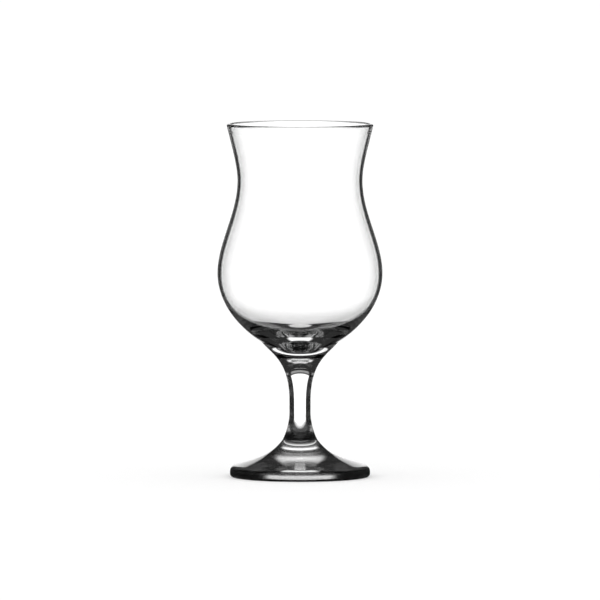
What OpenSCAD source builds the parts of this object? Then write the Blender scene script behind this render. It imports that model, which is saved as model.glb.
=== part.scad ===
// Hurricane glass in clear glass: a bowl, a stem and a foot, each turned about the Z axis.
// The bowl's round underside is fused into a dished seat on the stem, and the stem to the foot at a
// flat seam, face to face.
// It stands on the plane z = 0, and every length is in millimetres.

/* [Foot] */
// Diameter of the foot
foot_d = 70; // [60:0.5:80]
// Height of the foot, from the table to its seam with the stem
foot_h = 18.3; // [15:0.1:24]
// Thickness of the foot at its rounded edge
foot_edge_t = 6; // [5.2:0.1:7]
// Radius of the upper corner of the foot's edge
foot_upper_r = 3.4; // [2:0.1:3.8]
// Radius of the lower corner of the foot's edge
foot_lower_r = 1.6; // [0.8:0.1:2]
// Slope of the foot's upper face beside its edge, from horizontal
foot_slope = 14; // [8:1:20]
// Width of the flat ring that the glass stands on
foot_ring_w = 2.5; // [1:0.1:5]
// Depth of the shallow hollow under the foot, inside the ring
foot_hollow = 0.5; // [0.2:0.1:2]
// Slope of the hollow's side where it meets the ring, from horizontal
foot_hollow_slope = 15; // [5:1:30]

/* [Stem] */
// Height of the stem, from its seam with the foot to the edge of its dished seat
stem_h = 49; // [42:0.5:60]
// Diameter of the stem at its straight neck
neck_d = 10.5; // [9:0.1:13]
// Height of the neck's lower end above the foot's seam
neck_z = 13.7; // [11:0.1:17]
// Length of the straight neck
neck_l = 5.3; // [3:0.1:10]
// Diameter of the seam between the foot and the stem
foot_seam_d = 17.5; // [15:0.1:22]
// Diameter of the seam between the stem and the bowl
bowl_seam_d = 38.6; // [30:0.1:46]
// Depth of the dished seat on top of the stem, where the bowl is fused in
seat_depth = 5.2; // [3:0.1:8]

/* [Bowl] */
// Height of the bowl above the edge of its seam with the stem
bowl_h = 108.7; // [100:0.1:125]
// Diameter of the mouth, across the outside of the lip
mouth_d = 73; // [68:0.5:80]
// Diameter of the waist
waist_d = 62.3; // [56:0.1:66]
// Depth of the waist below the top of the lip
waist_drop = 28.4; // [22:0.1:36]
// Diameter of the belly
belly_d = 82.3; // [74:0.1:90]
// Depth of the belly below the top of the lip
belly_drop = 74.4; // [66:0.1:82]

/* [Wall] */
// Thickness of the fire-polished lip
lip_t = 2; // [1.4:0.1:3]
// Thickness of the wall just below the lip
mouth_wall = 1.6; // [1:0.1:2.4]
// Thickness of the wall at the waist
waist_wall = 1.5; // [1:0.1:2.6]
// Thickness of the wall at the belly
belly_wall = 1.5; // [1:0.1:2.6]
// Thickness of the bowl's bottom on the axis, between the cavity and the dished seam
bottom_t = 3.1; // [2:0.1:5]

/* [Cavity] */
// Diameter of the small round well at the bottom of the cavity
well_d = 24.4; // [20:0.2:28]
// Height of the well's rim above the edge of the seam between the stem and the bowl
well_rise = 1.7; // [1:0.1:3]
// Slope of the cavity at the well's rim, from horizontal
well_slope = 19; // [12:1:26]

/* [Slopes at the seams] */
// Slope of the foot at its seam with the stem, from vertical
foot_seam_angle = 38; // [30:1:50]
// Slope of the stem at its seam with the foot, from vertical
stem_foot_angle = 28.5; // [20:0.5:45]
// Slope of the stem at its seam with the bowl, from vertical
stem_bowl_angle = 39; // [30:1:55]
// Slope of the bowl at its seam with the stem, from vertical
bowl_seam_angle = 59.5; // [50:0.5:70]
// Flare of the mouth beside the lip, from vertical
mouth_flare = 12.5; // [6:0.5:18]

/* [Smoothness] */
// Straight stretches in each curve of an outline
curve_steps = 16; // [8:1:32]
// Straight stretches in the lip and in each rounded corner
round_steps = 8; // [4:1:16]

/* [Hidden] */
$fn = 96;

// Reach of each curve's two ends along their own directions, as shares of its chord.
foot_top_shares = [0.48, 0.335];
hollow_shares = [0.75, 0.12];
stem_lower_shares = [0.341, 0.247];
stem_upper_shares = [0.622, 0.25];
seat_shares = [0.34, 0.34];
bowl_lower_shares = [0.24, 0.415];
bowl_middle_shares = [0.32, 0.349];
bowl_upper_shares = [0.296, 0.339];
cavity_side_shares = [0.48, 0.29];
well_shares = [0.39, 0.5];
// Share of the mouth's curve over which the lip's bead runs out into the wall.
lip_share = 0.16;

// Directions in an outline's own plane, which has the radius first and the height second.
up = [0, 1];
down = [0, -1];
inwards = [-1, 0];
outwards = [1, 0];
function leaning_out(angle) = [sin(angle), cos(angle)];
function leaning_in(angle) = [-sin(angle), cos(angle)];

// Heights and stations of the foot.
foot_r = foot_d / 2;
foot_seam = [foot_seam_d / 2, foot_h];
foot_upper_centre = [foot_r - foot_upper_r, foot_edge_t - foot_upper_r];
foot_lower_centre = [foot_r - foot_lower_r, foot_lower_r];
foot_top_start = foot_upper_centre + foot_upper_r * leaning_out(foot_slope);
ring_outer_r = foot_r - foot_lower_r;
ring_inner_r = ring_outer_r - foot_ring_w;
into_ring = [cos(foot_hollow_slope), -sin(foot_hollow_slope)];

// Heights and stations of the stem.
stem_top_z = foot_h + stem_h;
neck_low = [neck_d / 2, foot_h + neck_z];
neck_high = neck_low + neck_l * up;
bowl_seam = [bowl_seam_d / 2, stem_top_z];
seat_bottom = [0, stem_top_z - seat_depth];

// Heights and stations of the bowl.
glass_h = stem_top_z + bowl_h;
lip_r = lip_t / 2;
lip_centre = [mouth_d / 2 - lip_r, glass_h - lip_r];
mouth_outside = lip_centre + lip_r * [cos(mouth_flare), -sin(mouth_flare)];
waist_outside = [waist_d / 2, glass_h - waist_drop];
belly_outside = [belly_d / 2, glass_h - belly_drop];
well_rim = [well_d / 2, stem_top_z + well_rise];
into_well = [-cos(well_slope), -sin(well_slope)];
cavity_bottom = seat_bottom + bottom_t * up;

// Control points of a cubic curve from one station to the next, leaving and arriving along
// given directions. Its two shares set how far each end keeps to its direction.
function curve(start, leaving, end, arriving, shares) =
    let (chord = norm(end - start))
    [start, start + shares[0] * chord * leaving, end - shares[1] * chord * arriving, end];

// Point of a cubic curve at t, from 0 at its start to 1 at its end.
function curve_point(c, t) =
    pow(1 - t, 3) * c[0] + 3 * pow(1 - t, 2) * t * c[1] + 3 * (1 - t) * pow(t, 2) * c[2] + pow(t, 3) * c[3];

// Unit vector at t, square to the curve on its left-hand side.
function curve_left(c, t) =
    let (s = pow(1 - t, 2) * (c[1] - c[0]) + 2 * (1 - t) * t * (c[2] - c[1]) + pow(t, 2) * (c[3] - c[2]))
    [-s[1], s[0]] / norm(s);

// Points of a curve after its start, so that curves join without a doubled point.
function along(c) = [for (i = [1 : curve_steps]) curve_point(c, i / curve_steps)];

// Points of an arc after its start, between two angles from the outward direction.
function arc(centre, r, from, to) =
    [for (i = [1 : round_steps])
        let (a = from + (to - from) * i / round_steps)
        centre + r * [cos(a), sin(a)]];

// Value between two others that leaves and arrives without a slope.
function ease(a, b, t) = a + (b - a) * (1 - cos(180 * t)) / 2;

// Points of the dished seam between the stem and the bowl, from the axis out and back.
seat_outwards = concat([seat_bottom],
    along(curve(seat_bottom, outwards, bowl_seam, leaning_out(bowl_seam_angle), seat_shares)));
seat_inwards = [for (i = [len(seat_outwards) - 2 : -1 : 0]) seat_outwards[i]];

// Curves of the bowl's outside, from the seam up to the mouth.
lower_side = curve(bowl_seam, leaning_out(bowl_seam_angle), belly_outside, up, bowl_lower_shares);
middle_side = curve(belly_outside, up, waist_outside, up, bowl_middle_shares);
upper_side = curve(waist_outside, up, mouth_outside, leaning_out(mouth_flare), bowl_upper_shares);

// Thickness of the wall at t along the upper side, with the lip's bead at its end.
function upper_wall(t) =
    ease(waist_wall, mouth_wall, t) + (lip_t - mouth_wall) * ease(0, 1, max(0, 1 - (1 - t) / lip_share));

// Points of the inside from the lip down to the waist, and from there down to the belly.
upper_inside = [for (i = [1 : curve_steps]) let (t = 1 - i / curve_steps)
    curve_point(upper_side, t) + upper_wall(t) * curve_left(upper_side, t)];
middle_inside = [for (i = [1 : curve_steps]) let (t = 1 - i / curve_steps)
    curve_point(middle_side, t) + ease(belly_wall, waist_wall, t) * curve_left(middle_side, t)];
belly_inside = belly_outside + belly_wall * inwards;

module turned(outline) {
    rotate_extrude() polygon(outline);
}

module bowl() {
    color([0.88, 0.92, 0.92, 0.4]) turned(concat(
        seat_outwards,
        along(lower_side),
        along(middle_side),
        along(upper_side),
        arc(lip_centre, lip_r, -mouth_flare, 180 - mouth_flare),
        upper_inside,
        middle_inside,
        along(curve(belly_inside, down, well_rim, into_well, cavity_side_shares)),
        along(curve(well_rim, into_well, cavity_bottom, inwards, well_shares))
    ));
}

module stem() {
    color([0.88, 0.92, 0.92, 0.4]) turned(concat(
        [[0, foot_h], foot_seam],
        along(curve(foot_seam, leaning_in(stem_foot_angle), neck_low, up, stem_lower_shares)),
        [neck_high],
        along(curve(neck_high, up, bowl_seam, leaning_out(stem_bowl_angle), stem_upper_shares)),
        seat_inwards
    ));
}

module foot() {
    color([0.88, 0.92, 0.92, 0.4]) turned(concat(
        [[0, foot_hollow]],
        along(curve([0, foot_hollow], outwards, [ring_inner_r, 0], into_ring, hollow_shares)),
        [[ring_outer_r, 0]],
        arc(foot_lower_centre, foot_lower_r, -90, 0),
        [foot_upper_centre + foot_upper_r * outwards],
        arc(foot_upper_centre, foot_upper_r, 0, 90 - foot_slope),
        along(curve(foot_top_start, [-cos(foot_slope), sin(foot_slope)],
                    foot_seam, leaning_in(foot_seam_angle), foot_top_shares)),
        [[0, foot_h]]
    ));
}

bowl();
stem();
foot();
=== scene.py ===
import math

import bpy
import numpy as np
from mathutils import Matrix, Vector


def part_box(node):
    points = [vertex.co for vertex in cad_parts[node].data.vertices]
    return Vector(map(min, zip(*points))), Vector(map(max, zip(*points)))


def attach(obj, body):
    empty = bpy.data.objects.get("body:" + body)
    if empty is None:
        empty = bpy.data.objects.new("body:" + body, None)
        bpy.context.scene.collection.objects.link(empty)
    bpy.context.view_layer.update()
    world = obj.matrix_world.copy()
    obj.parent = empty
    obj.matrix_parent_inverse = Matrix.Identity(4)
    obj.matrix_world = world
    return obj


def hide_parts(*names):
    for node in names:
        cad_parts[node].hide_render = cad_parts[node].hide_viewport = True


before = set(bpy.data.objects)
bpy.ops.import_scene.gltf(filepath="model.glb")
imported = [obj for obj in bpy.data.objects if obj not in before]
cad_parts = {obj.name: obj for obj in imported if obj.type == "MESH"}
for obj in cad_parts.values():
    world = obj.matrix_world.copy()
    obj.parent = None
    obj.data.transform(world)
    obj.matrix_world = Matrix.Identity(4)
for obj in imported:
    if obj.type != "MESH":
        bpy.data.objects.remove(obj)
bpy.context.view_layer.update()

# The hurricane glass is three closed surfaces of revolution, one for each of the frame's nodes. Each
# follows its node's outline, but finely divided and smooth, because facets show in clear glass.
# Lengths are in metres and slopes in degrees.

scene = bpy.context.scene
MM = 0.001

# Sizes that the frame gives.
foot_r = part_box("foot")[1][0]
foot_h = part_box("foot")[1][2]
bowl_seam_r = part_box("stem")[1][0]
bowl_seam_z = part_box("stem")[1][2]
belly_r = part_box("bowl")[1][0]
glass_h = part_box("bowl")[1][2]
bowl_base_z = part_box("bowl")[0][2]

# Sizes of the foot that its box doesn't show.
foot_edge_t = 6 * MM
foot_upper_r = 3.4 * MM
foot_lower_r = 1.6 * MM
foot_slope = 14
foot_ring_w = 2.5 * MM
foot_hollow = 0.5 * MM
foot_hollow_slope = 15
foot_seam_r = 8.75 * MM
foot_seam_angle = 38

# Sizes of the stem.
neck_r = 5.25 * MM
neck_z = 13.7 * MM
neck_l = 5.3 * MM
stem_foot_angle = 28.5
stem_bowl_angle = 39

# Sizes of the bowl.
mouth_r = 36.5 * MM
mouth_flare = 12.5
waist_r = 31.15 * MM
waist_drop = 28.4 * MM
belly_drop = 74.4 * MM
bowl_seam_angle = 59.5
lip_r = 1 * MM
mouth_wall = 1.6 * MM
waist_wall = 1.5 * MM
belly_wall = 1.5 * MM
bottom_t = 3.1 * MM
well_r = 12.2 * MM
well_rise = 1.7 * MM
well_slope = 19

# Reach of each curve's two ends along their own directions, as shares of its chord.
foot_top_shares = (0.48, 0.335)
hollow_shares = (0.75, 0.12)
stem_lower_shares = (0.341, 0.247)
stem_upper_shares = (0.622, 0.25)
seat_shares = (0.34, 0.34)
bowl_lower_shares = (0.24, 0.415)
bowl_middle_shares = (0.32, 0.349)
bowl_upper_shares = (0.296, 0.339)
cavity_side_shares = (0.48, 0.29)
well_shares = (0.39, 0.5)

# Share of the mouth's curve over which the lip's bead runs out into the wall.
bead_share = 0.16

# How finely the outlines and the turns are divided. An edge sharper than the crease angle stays crisp.
curve_steps = 44
round_steps = 14
turn_steps = 256
crease_angle = 12

# The clear glass. Its finishes paint shade into its colour where it would bend the view off past the lit
# background.
# Their stops are (how far the surface turns away from the ray, share of the light that passes the painted
# shade), and the heights that they go by are in millimetres.
glass_ior = 1.52

# Heights below which a reflected ray passes in full, without the painted shade, and the stretch over which
# that changes.
# All of the glass lies below the first, and the second is for the bowl's outside.
everywhere_height = 1000
wall_full_height = 80
full_soft = 10

# The bowl's painted shade: the dark line along its sides, the stretch over which that pales towards the
# mouth, to a least share there, the lip's darkening, and the edge of the dark bottom inside, whose stops
# shift by its rise for each millimetre above its height.
wall_edge = ((0.216, 1.0), (0.226, 0.12), (0.236, 0.1), (0.246, 0.15))
wall_pale_start = 150
wall_pale_end = 172
wall_pale_share = 0.3
lip_edge = ((0.1, 1.0), (0.4, 0.38))
cavity_edge = ((-0.26, 1.0), (0.74, 0.58), (0.77, 0.02))
cavity_edge_height = 74
cavity_edge_rise = 0.055

# The stem's painted shade: the sides of its clear middle, the part of the square of its lean that they
# leave out, and the middle's lower end, whose stops shift in the same way.
stem_edge = ((0.060, 1.0), (0.075, 0.02))
stem_lean_part = 0.9
stem_end = ((0.062, 1.0), (0.112, 0.06))
stem_end_height = 26
stem_end_rise = 0.01

# The foot: painted shade on light that enters by its slope and by its edge, with the height where one turns
# into the other, and on light that leaves by either, and the underside.
slope_cover = ((0.3, 1.0), (0.65, 0.62))
edge_cover = ((0.1, 0.66), (0.22, 0.1))
edge_cover_height = 4.9
edge_cover_soft = 1.2
foot_edge = ((0.03, 0.75), (0.05, 0.35), (0.08, 0.05))
base_clear = 0.95
base_roughness = 0.15

# The floor, which lies just under the foot's ring, so that the glass has a face of air under it.
floor_w = 40
floor_gap = 0.02 * MM
floor_colour = 0.8
floor_glow = 0.22

# Shares of the light that the floor mirrors to rays reflected in the glass: the least where it faces the
# ray, the most where it turns away, and how far it turns where the share starts and stops growing.
mirror_least = 0.15
mirror_most = 0.95
mirror_start = 0.3
mirror_end = 0.6

# The light. Its angles are in degrees, across from straight behind the glass and up from level. The panels
# behind the glass are each (half width, lower edge, upper edge, softness of the edges, strength), and the
# first is the lit background.
studio_dim = 0.03
back_high = 21
back_soft = 3
back_light = 1.35
panel_side_soft = 8
panels = (
    (20.5, -19, back_high, back_soft, back_light),
    (30, 24, 31, back_soft, 0.35),
    (25, 46, 62, 10, 0.8),
)

# The low band of light on the camera's side: how far across it starts and is full, its edges and strength.
band_start = 112
band_full = 132
band_low = 6
band_high = 36
band_soft = 3
band_light = 0.4

# The panel behind the glass that its outer face reflects.
outer_half = 10
outer_side_soft = 3
outer_low = 0
outer_high = 18.6
outer_soft = 3.7
outer_light = 1.2

# The camera's distance from the glass, its rise above level in degrees, and how far off it still sees.
camera_distance = 5
camera_rise = 3.6
camera_reach = 100

# The photograph in pixels: its width, the glass's height, and how high its middle lies above the plane that
# the glass stands on.
photo_px = 600
glass_px = 352.9
middle_px = 177

# How often a ray may be bent or reflected on its way through the glass.
ray_bounces = 32

# Directions in an outline's own plane, which has the radius first and the height second.
UP = np.array((0.0, 1.0))
OUT = np.array((1.0, 0.0))

# Evenly spaced places on a curve, of which the last is 1, at its end. Its start, 0, is left out.
after_start = np.arange(1, curve_steps + 1) / curve_steps


def leaning(angle):
    """Unit direction at an angle from vertical in degrees: outwards, or inwards if it is negative."""
    return np.array((math.sin(math.radians(angle)), math.cos(math.radians(angle))))


def curve(start, leaving, end, arriving, shares):
    """Four control points of a cubic curve from start to end.

    The inner two lie off the ends, along the directions of leaving and arriving, by shares of the chord.
    """
    start = np.array(start)
    end = np.array(end)
    chord = np.linalg.norm(end - start)
    return start, start + shares[0] * chord * leaving, end - shares[1] * chord * arriving, end


def points_at(control, t):
    """Points of a cubic curve at each t: (1-t)^3 a + 3(1-t)^2 t b + 3(1-t) t^2 c + t^3 d."""
    a, b, c, d = control
    t = t[:, None]
    return (1 - t) ** 3 * a + 3 * (1 - t) ** 2 * t * b + 3 * (1 - t) * t ** 2 * c + t ** 3 * d


def left_at(control, t):
    """Unit vectors on the left of a cubic curve at each t: its slope turned by a quarter."""
    a, b, c, d = control
    t = t[:, None]
    slope = (1 - t) ** 2 * (b - a) + 2 * (1 - t) * t * (c - b) + t ** 2 * (d - c)
    left = np.stack((-slope[:, 1], slope[:, 0]), axis=1)
    return left / np.linalg.norm(left, axis=1, keepdims=True)


def along(control):
    """Points of a curve after its start, so that curves join without a doubled point."""
    return points_at(control, after_start)


def arc(centre, r, start, end):
    """Points of an arc after its start: centre + r (cos a, sin a), with a from start to end in degrees."""
    a = np.radians(start + (end - start) * np.arange(1, round_steps + 1) / round_steps)
    return centre + r * np.stack((np.cos(a), np.sin(a)), axis=1)


def ease(a, b, t):
    """From a to b as t goes from 0 to 1, along half a wave of a cosine."""
    return a + (b - a) * (1 - np.cos(math.pi * t)) / 2


# Stations of the outlines, as (radius, height).
foot_seam = np.array((foot_seam_r, foot_h))
neck_low = np.array((neck_r, foot_h + neck_z))
neck_high = neck_low + neck_l * UP
bowl_seam = np.array((bowl_seam_r, bowl_seam_z))
seat_bottom = np.array((0, bowl_base_z))
belly = np.array((belly_r, glass_h - belly_drop))
waist = np.array((waist_r, glass_h - waist_drop))
lip_centre = np.array((mouth_r - lip_r, glass_h - lip_r))
mouth = lip_centre + lip_r * leaning(mouth_flare + 90)
well_rim = np.array((well_r, bowl_seam_z + well_rise))
cavity_bottom = seat_bottom + bottom_t * UP

# The seams, from the axis out: the flat one on the foot, and the dished one that the bowl is fused into.
seat_curve = curve(seat_bottom, OUT, bowl_seam, leaning(bowl_seam_angle), seat_shares)
flat_seam = np.vstack((foot_h * UP, foot_seam))
dished_seam = np.vstack((seat_bottom, along(seat_curve)))

# The bowl's outside, from the dished seam up to the mouth.
lower_side = curve(bowl_seam, leaning(bowl_seam_angle), belly, UP, bowl_lower_shares)
middle_side = curve(belly, UP, waist, UP, bowl_middle_shares)
upper_side = curve(waist, UP, mouth, leaning(mouth_flare), bowl_upper_shares)


def foot_base():
    """From the middle of the shallow hollow out over the ring that the glass stands on."""
    hollow_top = np.array((0, foot_hollow))
    ring_outer = (foot_r - foot_lower_r) * OUT
    ring_inner = ring_outer - foot_ring_w * OUT
    into_ring = leaning(90 + foot_hollow_slope)
    return np.vstack((
        hollow_top,
        along(curve(hollow_top, OUT, ring_inner, into_ring, hollow_shares)),
        ring_outer,
    ))


def foot_skin():
    """From the ring over the rounded edge, and up to the seam with the stem."""
    lower_centre = np.array((foot_r - foot_lower_r, foot_lower_r))
    upper_centre = np.array((foot_r - foot_upper_r, foot_edge_t - foot_upper_r))
    top_start = upper_centre + foot_upper_r * leaning(foot_slope)
    up_slope = leaning(foot_slope - 90)
    return np.vstack((
        arc(lower_centre, foot_lower_r, -90, 0),
        upper_centre + foot_upper_r * OUT,
        arc(upper_centre, foot_upper_r, 0, 90 - foot_slope),
        along(curve(top_start, up_slope, foot_seam, leaning(-foot_seam_angle), foot_top_shares)),
    ))


def stem_skin():
    """From the seam with the foot in to the straight neck, and out again to the seam with the bowl."""
    return np.vstack((
        along(curve(foot_seam, leaning(-stem_foot_angle), neck_low, UP, stem_lower_shares)),
        along(curve(neck_high, UP, bowl_seam, leaning(stem_bowl_angle), stem_upper_shares)),
    ))


def bowl_outside():
    """From the seam up over the belly and the waist to the mouth."""
    return np.vstack((along(lower_side), along(middle_side), along(upper_side)))


def lip():
    """Over the round lip, from the mouth's outside to its inside."""
    return arc(lip_centre, lip_r, -mouth_flare, 180 - mouth_flare)


def bowl_inside():
    """Down the inside from the lip to the bottom of the cavity.

    Down to the belly the inside lies square to the outside by the wall's thickness, which eases from one
    station to the next and swells into the lip's bead. Below the belly it runs into a small round well.
    """
    back = 1 - after_start
    bead = (2 * lip_r - mouth_wall) * ease(0, 1, np.maximum(0, 1 - (1 - back) / bead_share))
    upper_wall = ease(waist_wall, mouth_wall, back) + bead
    middle_wall = ease(belly_wall, waist_wall, back)
    into_well = leaning(-90 - well_slope)
    return np.vstack((
        points_at(upper_side, back) + upper_wall[:, None] * left_at(upper_side, back),
        points_at(middle_side, back) + middle_wall[:, None] * left_at(middle_side, back),
        along(curve(belly - belly_wall * OUT, -UP, well_rim, into_well, cavity_side_shares)),
        along(curve(well_rim, into_well, cavity_bottom, -OUT, well_shares)),
    ))


def placed(name, data):
    """A new object in the scene, which holds a mesh or a camera."""
    thing = bpy.data.objects.new(name, data)
    scene.collection.objects.link(thing)
    return thing


def turned(name, parts):
    """Closed surface of revolution: a point (r, z) of its outline goes to (r cos a, r sin a, z) at each a.

    The outline is its parts end to end, each with its finish, and a stretch that leads to a part's first
    point belongs to that part. Its two ends lie on the axis and are closed by fans.
    """
    outline = np.vstack([points for points, finish in parts])
    finishes = list(dict.fromkeys(finish for points, finish in parts))
    part_slots = [finishes.index(finish) for points, finish in parts]
    stretch_slots = np.repeat(part_slots, [len(points) for points, finish in parts])[1:]

    rings = outline[1:-1]
    a = math.tau * np.arange(turn_steps) / turn_steps
    points = np.empty((len(rings), turn_steps, 3))
    points[..., 0] = rings[:, :1] * np.cos(a)
    points[..., 1] = rings[:, :1] * np.sin(a)
    points[..., 2] = rings[:, 1:]
    poles = ((0, 0, outline[0, 1]), (0, 0, outline[-1, 1]))
    points = np.vstack((points.reshape(-1, 3), poles))

    here = np.arange(turn_steps)
    after = (here + 1) % turn_steps
    low = turn_steps * np.arange(len(rings) - 1)[:, None]
    high = low + turn_steps
    last = turn_steps * (len(rings) - 1)
    quads = np.stack((low + here, low + after, high + after, high + here), axis=-1).reshape(-1, 4)
    first_fan = np.stack((np.full(turn_steps, len(points) - 2), after, here), axis=-1)
    last_fan = np.stack((np.full(turn_steps, len(points) - 1), last + here, last + after), axis=-1)

    mesh = bpy.data.meshes.new(name)
    mesh.from_pydata(points.tolist(), [], quads.tolist() + first_fan.tolist() + last_fan.tolist())
    face_slots = np.concatenate((stretch_slots[1:-1], stretch_slots[:1], stretch_slots[-1:]))
    mesh.polygons.foreach_set("material_index", np.repeat(face_slots, turn_steps).astype(np.int32))
    for finish in finishes:
        mesh.materials.append(finish)
    mesh.shade_smooth()
    mesh.set_sharp_from_angle(angle=math.radians(crease_angle))
    return placed(name, mesh)


class Nodes:
    """The node tree of a material or of the world, with one short call for each new node."""

    def __init__(self, owner):
        owner.use_nodes = True
        self.tree = owner.node_tree
        self.tree.nodes.clear()

    def add(self, kind, values=(), **settings):
        """A new node with its settings, and its (socket, value or another node's output) pairs."""
        node = self.tree.nodes.new(kind)
        for name, setting in settings.items():
            setattr(node, name, setting)
        for socket, value in values:
            if isinstance(value, bpy.types.NodeSocket):
                self.tree.links.new(value, node.inputs[socket])
            else:
                node.inputs[socket].default_value = value
        return node

    def calc(self, operation, *values):
        """The result of a calculation on numbers or outputs."""
        return self.add("ShaderNodeMath", enumerate(values), operation=operation).outputs[0]

    def square(self, value):
        """A value times itself."""
        return self.calc("MULTIPLY", value, value)

    def ramp(self, value, start, end, low, high, shape="LINEAR"):
        """From low to high as value goes from start to end, and level outside them."""
        places = enumerate((value, start, end, low, high))
        return self.add("ShaderNodeMapRange", places, interpolation_type=shape).outputs[0]

    def mix(self, share, low, high):
        """From low to high as share goes from 0 to 1."""
        return self.ramp(share, 0.0, 1.0, low, high)

    def fade(self, value, start, end, low=0.0, high=1.0):
        """From low to high as value goes from start to end, with soft ends."""
        return self.ramp(value, start, end, low, high, "SMOOTHSTEP")

    def past(self, value, place, soft, low=0.0, high=1.0):
        """From low to high as value goes past a place, over a stretch as wide as soft."""
        return self.fade(value, place - soft / 2, place + soft / 2, low, high)

    def steps(self, value, stops):
        """A number that runs straight from stop to stop, where each stop is (place, number)."""
        result = stops[0][1]
        for (start, low), (end, high) in zip(stops, stops[1:]):
            result = self.calc("ADD", result, self.ramp(value, start, end, 0.0, high - low))
        return result

    def between(self, value, low, high, soft):
        """1 where value lies between low and high and 0 elsewhere, with edges as wide as soft."""
        return self.calc("MULTIPLY", self.past(value, low, soft), self.past(value, high, soft, 1.0, 0.0))

    def away(self):
        """How far the surface turns away from the ray, from face on (0) to edge on (1)."""
        return self.add("ShaderNodeLayerWeight").outputs["Facing"]

    def upward(self, direction):
        """The upward part of a direction or place."""
        return self.add("ShaderNodeSeparateXYZ", ((0, direction),)).outputs[2]

    def lean(self):
        """How far the surface leans back: the upward part of its unit normal."""
        return self.upward(self.add("ShaderNodeNewGeometry").outputs["Normal"])

    def height(self):
        """The height in millimetres above the plane that the glass stands on."""
        return self.calc("DIVIDE", self.upward(self.add("ShaderNodeTexCoord").outputs["Object"]), MM)

    def after_bounce(self, kind):
        """1 once the ray has had a bounce of a kind, Diffuse, Glossy or Transmission, and 0 before."""
        return self.calc("MINIMUM", self.add("ShaderNodeLightPath").outputs[kind + " Depth"], 1.0)

    def reflected(self):
        """1 once the ray has been reflected, unless it has scattered off the floor too, and 0 otherwise."""
        unscattered = self.calc("SUBTRACT", 1.0, self.after_bounce("Diffuse"))
        return self.calc("MULTIPLY", self.after_bounce("Glossy"), unscattered)


def clear_glass(name, shares, full_height=everywhere_height, roughness=0.0):
    """Clear colourless glass with painted shade, its colour darkened where it would bend the view off past
    the lit background.

    shares gives the share of the light that the painted shade lets pass where a ray enters and the one
    where it leaves. A ray that has been reflected on its way passes in full below a height, without the
    painted shade. The base colour is the share squared, because the shader takes its root for light that
    passes.
    """
    material = bpy.data.materials.new(name)
    nodes = Nodes(material)
    leaves = nodes.add("ShaderNodeNewGeometry").outputs["Backfacing"]
    share = nodes.mix(leaves, *shares(nodes))
    low_down = nodes.past(nodes.height(), full_height, full_soft, 1.0, 0.0)
    full = nodes.calc("MULTIPLY", nodes.reflected(), low_down)
    glass = nodes.add("ShaderNodeBsdfPrincipled", (
        ("Base Color", nodes.square(nodes.calc("MAXIMUM", share, full))),
        ("Roughness", roughness),
        ("IOR", glass_ior),
        ("Transmission Weight", 1.0),
    ))
    nodes.add("ShaderNodeOutputMaterial", (("Surface", glass.outputs[0]),))
    return material


def wall_painted_shade(nodes):
    """The bowl's outside: a painted dark line of shade along its sides, which pales towards the mouth."""
    least = nodes.fade(nodes.height(), wall_pale_start, wall_pale_end, 0.0, wall_pale_share)
    return 1.0, nodes.calc("MAXIMUM", nodes.steps(nodes.away(), wall_edge), least)


def lip_painted_shade(nodes):
    """The lip: painted shade, darker where it curves away."""
    share = nodes.steps(nodes.away(), lip_edge)
    return share, share


def cavity_painted_shade(nodes):
    """The bowl's inside: painted shade, dark from its bottom up to an edge that lies higher where it is
    seen edge on.
    """
    above = nodes.calc("SUBTRACT", nodes.height(), cavity_edge_height)
    rise = nodes.calc("MULTIPLY", above, cavity_edge_rise)
    return nodes.steps(nodes.calc("SUBTRACT", nodes.away(), rise), cavity_edge), 1.0


def stem_painted_shade(nodes):
    """The stem: clear along its middle, with painted shade on its sides and where it widens towards the
    foot.
    """
    above = nodes.calc("MAXIMUM", nodes.calc("SUBTRACT", nodes.height(), stem_end_height), 0.0)
    rise = nodes.calc("MULTIPLY", above, stem_end_rise)
    end = nodes.steps(nodes.calc("SUBTRACT", nodes.away(), rise), stem_end)
    lean = nodes.calc("MULTIPLY", nodes.square(nodes.lean()), stem_lean_part)
    sides = nodes.steps(nodes.calc("SUBTRACT", nodes.away(), lean), stem_edge)
    return 1.0, nodes.calc("MINIMUM", sides, end)


def foot_painted_shade(nodes):
    """The foot's slope and edge: clear in the middle, with painted shade growing out to the sides, the edge
    sooner.
    """
    on_slope = nodes.past(nodes.height(), edge_cover_height, edge_cover_soft)
    away = nodes.away()
    cover = nodes.mix(on_slope, nodes.steps(away, edge_cover), nodes.steps(away, slope_cover))
    return cover, nodes.steps(away, foot_edge)


def base_shares(nodes):
    """The foot's underside: nearly clear all over."""
    return 1.0, base_clear


def seam_glass():
    """Glass that has run together at a seam, so that a ray goes straight on."""
    material = bpy.data.materials.new("seam run together")
    nodes = Nodes(material)
    through = nodes.add("ShaderNodeBsdfTransparent")
    nodes.add("ShaderNodeOutputMaterial", (("Surface", through.outputs[0]),))
    return material


def floor_paint():
    """Pale matt paint with a little glow, which reads as white, and more glow seen through the glass.

    A ray that has been reflected in the glass sees a polished floor instead, a mirror at a low angle.
    """
    material = bpy.data.materials.new("pale floor")
    nodes = Nodes(material)
    more_glow = nodes.calc("MULTIPLY", nodes.after_bounce("Transmission"), back_light - 1)
    paint = nodes.add("ShaderNodeBsdfPrincipled", (
        ("Base Color", (floor_colour, floor_colour, floor_colour, 1.0)),
        ("Roughness", 1.0),
        ("Specular IOR Level", 0.0),
        ("Emission Color", (1.0, 1.0, 1.0, 1.0)),
        ("Emission Strength", nodes.calc("ADD", floor_glow, more_glow)),
    ))
    polish = nodes.add("ShaderNodeBsdfGlossy", (
        ("Color", nodes.fade(nodes.away(), mirror_start, mirror_end, mirror_least, mirror_most)),
        ("Roughness", 0.0),
    ))
    either = nodes.add("ShaderNodeMixShader", (
        (0, nodes.reflected()),
        (1, paint.outputs[0]),
        (2, polish.outputs[0]),
    ))
    nodes.add("ShaderNodeOutputMaterial", (("Surface", either.outputs[0]),))
    return material


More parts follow.
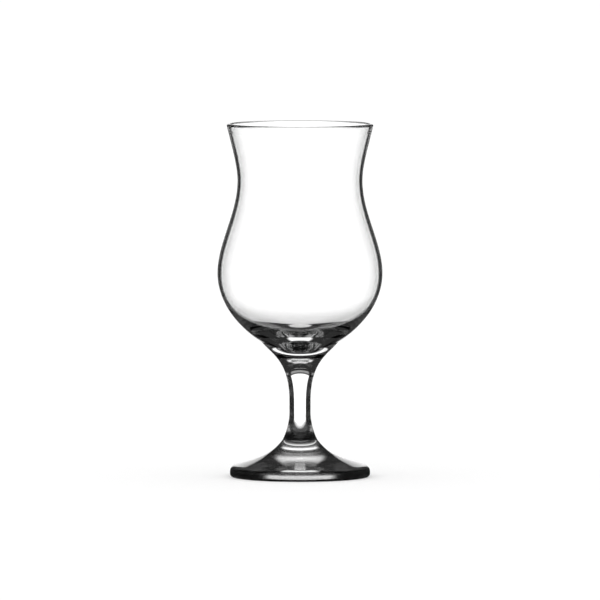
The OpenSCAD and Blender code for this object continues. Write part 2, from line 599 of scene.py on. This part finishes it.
def studio_light():
    """White for the camera and the floor, and for the glass a dark studio with soft panels of light.

    A ray that goes through the glass sees the lit background as if it ran all round. One that is reflected
    inside the glass sees the panels and the low band, and one that the outer face reflects sees a panel of
    its own.
    """
    world = bpy.data.worlds.new("studio")
    scene.world = world
    nodes = Nodes(world)
    way = nodes.add("ShaderNodeTexCoord").outputs["Generated"]
    x, y, z = nodes.add("ShaderNodeSeparateXYZ", ((0, way),)).outputs
    up = nodes.calc("DEGREES", nodes.calc("ARCSINE", z))
    across = nodes.calc("DEGREES", nodes.calc("ARCTAN2", x, y))

    def lit(sides, low, high, soft, strength, rest):
        """Light of a given strength within its sides and between two edges, or the rest if that is more."""
        there = nodes.calc("MULTIPLY", sides, nodes.between(up, low, high, soft))
        return nodes.calc("MAXIMUM", nodes.calc("MULTIPLY", there, strength), rest)

    studio = studio_dim
    for half, low, high, soft, strength in panels:
        sides = nodes.between(across, -half, half, panel_side_soft)
        studio = lit(sides, low, high, soft, strength, studio)
    camera_side = nodes.fade(nodes.calc("ABSOLUTE", across), band_start, band_full)
    studio = lit(camera_side, band_low, band_high, band_soft, band_light, studio)

    all_round = nodes.past(up, back_high, back_soft, back_light, studio_dim)
    background = nodes.calc("MAXIMUM", all_round, studio)

    outer_sides = nodes.between(across, -outer_half, outer_half, outer_side_soft)
    outer = lit(outer_sides, outer_low, outer_high, outer_soft, outer_light, studio_dim)

    mirrored = nodes.mix(nodes.after_bounce("Transmission"), outer, studio)
    from_glass = nodes.mix(nodes.reflected(), background, mirrored)
    from_camera = nodes.add("ShaderNodeLightPath").outputs["Is Camera Ray"]
    white = nodes.calc("MAXIMUM", from_camera, nodes.after_bounce("Diffuse"))
    sky = nodes.add("ShaderNodeBackground", (
        ("Color", (1.0, 1.0, 1.0, 1.0)),
        ("Strength", nodes.mix(white, from_glass, 1.0)),
    ))
    nodes.add("ShaderNodeOutputWorld", (("Surface", sky.outputs[0]),))


def plain_floor():
    """A wide square floor under the foot, one flat face that looks up."""
    half = floor_w / 2
    corners = ((-half, -half), (half, -half), (half, half), (-half, half))
    mesh = bpy.data.meshes.new("floor")
    mesh.from_pydata([(x, y, -floor_gap) for x, y in corners], [], ((0, 1, 2, 3),))
    mesh.materials.append(floor_paint())
    floor = placed("floor", mesh)


def photo_camera():
    """A long lens far off, a little above the table, aimed at the middle of the photograph's frame."""
    rise = math.radians(camera_rise)
    pixel = glass_h * math.cos(rise) / glass_px
    lens = bpy.data.cameras.new("camera")
    lens.lens = lens.sensor_width * camera_distance / (photo_px * pixel)
    lens.clip_end = camera_reach
    camera = placed("camera", lens)
    camera.rotation_euler = (math.pi / 2 - rise, 0, 0)
    camera.location = (
        0,
        -camera_distance * math.cos(rise),
        middle_px * pixel + camera_distance * math.sin(rise),
    )
    scene.camera = camera


photo_camera()
studio_light()
plain_floor()

fused = seam_glass()
# The glass finishes below paint shade into their colour where the surface turns away from the ray, all but
# the base's.
wall_glass = clear_glass("bowl glass outside", wall_painted_shade, wall_full_height)
lip_glass = clear_glass("lip glass", lip_painted_shade)
cavity_glass = clear_glass("bowl glass inside", cavity_painted_shade)
stem_glass = clear_glass("stem glass", stem_painted_shade)
foot_glass = clear_glass("foot glass", foot_painted_shade)
base_glass = clear_glass("base glass", base_shares, roughness=base_roughness)

# Each outline runs from the axis out along its piece's underside, up the outside, and back to the axis.
outlines = {
    "bowl": (
        (dished_seam, fused),
        (bowl_outside(), wall_glass),
        (lip(), lip_glass),
        (bowl_inside(), cavity_glass),
    ),
    "stem": (
        (flat_seam, fused),
        (stem_skin(), stem_glass),
        (dished_seam[-2::-1], fused),
    ),
    "foot": (
        (foot_base(), base_glass),
        (foot_skin(), foot_glass),
        (flat_seam[:1], fused),
    ),
}
for node, parts in outlines.items():
    piece = turned("clear_" + node, parts)
    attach(piece, "root")
    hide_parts(node)

scene.view_settings.view_transform = "Standard"
scene.cycles.max_bounces = ray_bounces
scene.cycles.transmission_bounces = ray_bounces
scene.cycles.glossy_bounces = ray_bounces
scene.cycles.transparent_max_bounces = ray_bounces
